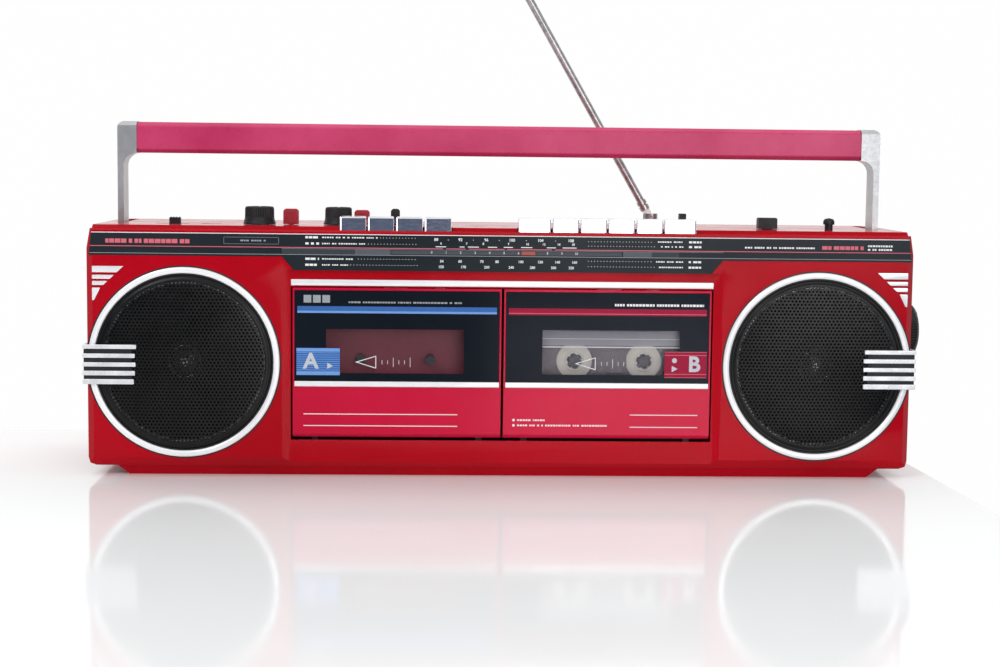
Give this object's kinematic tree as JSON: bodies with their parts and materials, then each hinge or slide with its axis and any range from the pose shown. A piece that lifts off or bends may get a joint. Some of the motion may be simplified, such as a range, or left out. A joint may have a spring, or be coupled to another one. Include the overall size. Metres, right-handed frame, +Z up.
{
  "type": "radio cassette recorder",
  "caption": "Portable twin-deck stereo radio-cassette recorder with round speakers, piano keys, dial, carrying handle and telescopic antenna.",
  "frame": {"origin": "under the middle of the cabinet, on the flat plinth face it stands on", "axes": "+X to the right seen from the front, -Y out of the front, +Z up"},
  "size_m": [0.5162, 0.1484, 0.3272],
  "materials": {
    "red_plastic": "glossy",
    "grip_plastic": "satin, sun-faded",
    "black_plastic": "fine matte",
    "tab_plastic": "satin",
    "dial_plastic": "glossy, printed behind",
    "pointer_plastic": "satin",
    "bright_plated": "polished plating",
    "silver_plated": "satin silver",
    "grille_metal": "black paint",
    "driver_steel": "zinc plated",
    "cone_paper": "coated paper",
    "door_pane": "smoked, masked edge",
    "holder_steel": "bare sheet",
    "cassette_clear": "clear tinted",
    "hub_plastic": "satin",
    "plate_steel": "plated sheet",
    "board_laminate": "solder mask",
    "screw_steel": "blackened"
  },
  "bodies": {
    "cabinet": {"front_cabinet": "red_plastic", "rear_cabinet": "red_plastic", "mains_inlet": "black_plastic", "cabinet_screws": "screw_steel", "dial_panel": "dial_plastic", "speaker_rings": "silver_plated", "speaker_grilles": "grille_metal", "speaker_clips": "bright_plated", "speaker_drivers": "driver_steel", "speaker_cones": "cone_paper", "corner_trims": "silver_plated", "deck_trim_bar": "bright_plated", "mechanism_plate": "plate_steel", "tape_heads": "plate_steel", "motor": "driver_steel", "main_board": "board_laminate"},
    "battery_cover": {"battery_door": "red_plastic"},
    "tuning": {"tuning_knob": "black_plastic"},
    "pointer": {"dial_pointer": "pointer_plastic"},
    "door_a": {"door_a_frame": "red_plastic", "door_a_window": "door_pane", "door_a_strip": "bright_plated", "cassette_holder_a": "holder_steel"},
    "door_b": {"door_b_frame": "red_plastic", "door_b_window": "door_pane", "door_b_strip": "bright_plated", "cassette_holder_b": "holder_steel", "cassette_shell": "cassette_clear"},
    "hub_left": {"cassette_hub_left": "hub_plastic"},
    "hub_right": {"cassette_hub_right": "hub_plastic"},
    "handle": {"handle_grip": "grip_plastic", "handle_arms": "silver_plated"},
    "swivel": {"antenna_swivel": "bright_plated"},
    "rod_outer": {"antenna_tube_1": "bright_plated"},
    "rod_inner": {"antenna_tube_2": "bright_plated"},
    "flywheel_a_body": {"flywheel_a": "driver_steel"},
    "flywheel_b_body": {"flywheel_b": "driver_steel"},
    "spindle_a_left_body": {"spindle_a_left": "hub_plastic"},
    "spindle_a_right_body": {"spindle_a_right": "hub_plastic"},
    "spindle_b_left_body": {"spindle_b_left": "hub_plastic"},
    "spindle_b_right_body": {"spindle_b_right": "hub_plastic"},
    "volume_knob_body": {"volume_knob": "black_plastic"},
    "tone_knob_body": {"tone_knob": "black_plastic"},
    "red_slider_left_body": {"red_slider_left": "tab_plastic"},
    "red_slider_right_body": {"red_slider_right": "tab_plastic"},
    "band_slider_body": {"band_slider": "black_plastic"},
    "monitor_lever_body": {"monitor_lever": "black_plastic"},
    "dubbing_slider_body": {"dubbing_slider": "black_plastic"},
    "reset_pin_body": {"reset_pin": "black_plastic"},
    "mode_switch_body": {"mode_switch": "black_plastic"},
    "key_a_1_body": {"key_a_1": "bright_plated"},
    "key_a_2_body": {"key_a_2": "bright_plated"},
    "key_a_3_body": {"key_a_3": "bright_plated"},
    "key_a_4_body": {"key_a_4": "bright_plated"},
    "key_b_1_body": {"key_b_1": "bright_plated"},
    "key_b_2_body": {"key_b_2": "bright_plated"},
    "key_b_3_body": {"key_b_3": "bright_plated"},
    "key_b_4_body": {"key_b_4": "bright_plated"},
    "key_b_5_body": {"key_b_5": "bright_plated"},
    "key_b_6_body": {"key_b_6": "bright_plated"}
  },
  "joints": [
    {"name": "battery_cover_pull", "type": "slide", "parent": "cabinet", "child": "battery_cover", "axis": [0, 1, 0], "range_m": [0, 0.03]},
    {"name": "tuning_turn", "type": "hinge", "parent": "cabinet", "child": "tuning", "pos_m": [0.257, -0.02, 0.088], "axis": [1, 0, 0], "range_deg": [-480, 300]},
    {"name": "pointer_travel", "type": "slide", "parent": "cabinet", "child": "pointer", "axis": [1, 0, 0], "range_m": [-0.0721, 0.0451]},
    {"name": "door_a_swing", "type": "hinge", "parent": "cabinet", "child": "door_a", "pos_m": [0, -0.0595, 0.0285], "axis": [1, 0, 0], "range_deg": [0, 32]},
    {"name": "door_b_swing", "type": "hinge", "parent": "cabinet", "child": "door_b", "pos_m": [0, -0.0595, 0.0285], "axis": [1, 0, 0], "range_deg": [0, 32]},
    {"name": "capstan_a_turn", "type": "hinge", "parent": "cabinet", "child": "flywheel_a_body", "pos_m": [-0.065, -0.028, 0.1074], "axis": [0, 1, 0], "continuous": true},
    {"name": "capstan_b_turn", "type": "hinge", "parent": "cabinet", "child": "flywheel_b_body", "pos_m": [0.0655, -0.028, 0.1074], "axis": [0, 1, 0], "continuous": true},
    {"name": "reel_a_left_turn", "type": "hinge", "parent": "cabinet", "child": "spindle_a_left_body", "pos_m": [-0.08625, -0.04, 0.0709], "axis": [0, 1, 0], "continuous": true},
    {"name": "reel_a_right_turn", "type": "hinge", "parent": "cabinet", "child": "spindle_a_right_body", "pos_m": [-0.04375, -0.04, 0.0709], "axis": [0, 1, 0], "continuous": true},
    {"name": "reel_b_left_turn", "type": "hinge", "parent": "cabinet", "child": "spindle_b_left_body", "pos_m": [0.04425, -0.04, 0.0709], "axis": [0, 1, 0], "continuous": true},
    {"name": "reel_b_right_turn", "type": "hinge", "parent": "cabinet", "child": "spindle_b_right_body", "pos_m": [0.08675, -0.04, 0.0709], "axis": [0, 1, 0], "continuous": true},
    {"name": "hub_left_turn", "type": "hinge", "parent": "door_b", "child": "hub_left", "pos_m": [0.04425, -0.0542, 0.0709], "axis": [0, 1, 0], "continuous": true},
    {"name": "hub_right_turn", "type": "hinge", "parent": "door_b", "child": "hub_right", "pos_m": [0.08675, -0.0542, 0.0709], "axis": [0, 1, 0], "continuous": true},
    {"name": "key_a_1_press", "type": "slide", "parent": "cabinet", "child": "key_a_1_body", "axis": [0, 0, -1], "range_m": [0, 0.005], "stiffness_N_per_m": 400, "springref_m": -0.003},
    {"name": "key_a_2_press", "type": "slide", "parent": "cabinet", "child": "key_a_2_body", "axis": [0, 0, -1], "range_m": [0, 0.005], "stiffness_N_per_m": 400, "springref_m": -0.003},
    {"name": "key_a_3_press", "type": "slide", "parent": "cabinet", "child": "key_a_3_body", "axis": [0, 0, -1], "range_m": [0, 0.005], "stiffness_N_per_m": 400, "springref_m": -0.003},
    {"name": "key_a_4_press", "type": "slide", "parent": "cabinet", "child": "key_a_4_body", "axis": [0, 0, -1], "range_m": [0, 0.005], "stiffness_N_per_m": 400, "springref_m": -0.003},
    {"name": "key_b_1_press", "type": "slide", "parent": "cabinet", "child": "key_b_1_body", "axis": [0, 0, -1], "range_m": [0, 0.005], "stiffness_N_per_m": 400, "springref_m": -0.003},
    {"name": "key_b_2_press", "type": "slide", "parent": "cabinet", "child": "key_b_2_body", "axis": [0, 0, -1], "range_m": [0, 0.005], "stiffness_N_per_m": 400, "springref_m": -0.003},
    {"name": "key_b_3_press", "type": "slide", "parent": "cabinet", "child": "key_b_3_body", "axis": [0, 0, -1], "range_m": [0, 0.005], "stiffness_N_per_m": 400, "springref_m": -0.003},
    {"name": "key_b_4_press", "type": "slide", "parent": "cabinet", "child": "key_b_4_body", "axis": [0, 0, -1], "range_m": [0, 0.005], "stiffness_N_per_m": 400, "springref_m": -0.003},
    {"name": "key_b_5_press", "type": "slide", "parent": "cabinet", "child": "key_b_5_body", "axis": [0, 0, -1], "range_m": [0, 0.005], "stiffness_N_per_m": 400, "springref_m": -0.003},
    {"name": "key_b_6_press", "type": "slide", "parent": "cabinet", "child": "key_b_6_body", "axis": [0, 0, -1], "range_m": [0, 0.005], "stiffness_N_per_m": 400, "springref_m": -0.003},
    {"name": "volume_turn", "type": "hinge", "parent": "cabinet", "child": "volume_knob_body", "pos_m": [-0.1496, -0.03, 0.1565], "axis": [0, 0, 1], "range_deg": [-140, 140]},
    {"name": "tone_turn", "type": "hinge", "parent": "cabinet", "child": "tone_knob_body", "pos_m": [-0.101, -0.03, 0.1565], "axis": [0, 0, 1], "range_deg": [-140, 140]},
    {"name": "red_slider_left_move", "type": "slide", "parent": "cabinet", "child": "red_slider_left_body", "axis": [0, 1, 0], "range_m": [-0.01, 0.01]},
    {"name": "red_slider_right_move", "type": "slide", "parent": "cabinet", "child": "red_slider_right_body", "axis": [0, 1, 0], "range_m": [-0.01, 0.01]},
    {"name": "band_slider_move", "type": "slide", "parent": "cabinet", "child": "band_slider_body", "axis": [1, 0, 0], "range_m": [-0.007, 0.005]},
    {"name": "monitor_lever_move", "type": "slide", "parent": "cabinet", "child": "monitor_lever_body", "axis": [1, 0, 0], "range_m": [-0.005, 0.005]},
    {"name": "dubbing_slider_move", "type": "slide", "parent": "cabinet", "child": "dubbing_slider_body", "axis": [1, 0, 0], "range_m": [-0.004, 0.004]},
    {"name": "reset_pin_press", "type": "slide", "parent": "cabinet", "child": "reset_pin_body", "axis": [0, 0, -1], "range_m": [0, 0.0025], "stiffness_N_per_m": 300, "springref_m": -0.002},
    {"name": "mode_switch_move", "type": "slide", "parent": "cabinet", "child": "mode_switch_body", "axis": [0, 1, 0], "range_m": [-0.003, 0.003]},
    {"name": "handle_fold", "type": "hinge", "parent": "cabinet", "child": "handle", "pos_m": [0, -0.004, 0.1475], "axis": [-1, 0, 0], "range_deg": [0, 72]},
    {"name": "antenna_swing", "type": "hinge", "parent": "cabinet", "child": "swivel", "pos_m": [0.1045, 0.071, 0.152], "axis": [0, 0, 1], "range_deg": [-90, 90]},
    {"name": "antenna_tilt", "type": "hinge", "parent": "swivel", "child": "rod_outer", "pos_m": [0.1045, 0.071, 0.1542], "axis": [0, 1, 0], "range_deg": [-50, 30]},
    {"name": "antenna_extend", "type": "slide", "parent": "rod_outer", "child": "rod_inner", "axis": [-0.5, 0, 0.866], "range_m": [0, 0.14]}
  ],
  "couplings": [
    {"joint": "pointer_travel", "follows": "tuning_turn", "m_per_rad": 0.0085944},
    {"joint": "capstan_b_turn", "follows": "capstan_a_turn", "ratio": 1},
    {"joint": "reel_a_left_turn", "follows": "capstan_a_turn", "ratio": -0.1},
    {"joint": "reel_a_right_turn", "follows": "capstan_a_turn", "ratio": -0.1},
    {"joint": "reel_b_left_turn", "follows": "capstan_a_turn", "ratio": -0.1},
    {"joint": "reel_b_right_turn", "follows": "capstan_a_turn", "ratio": -0.1},
    {"joint": "hub_left_turn", "follows": "capstan_a_turn", "ratio": -0.1},
    {"joint": "hub_right_turn", "follows": "capstan_a_turn", "ratio": -0.1}
  ]
}
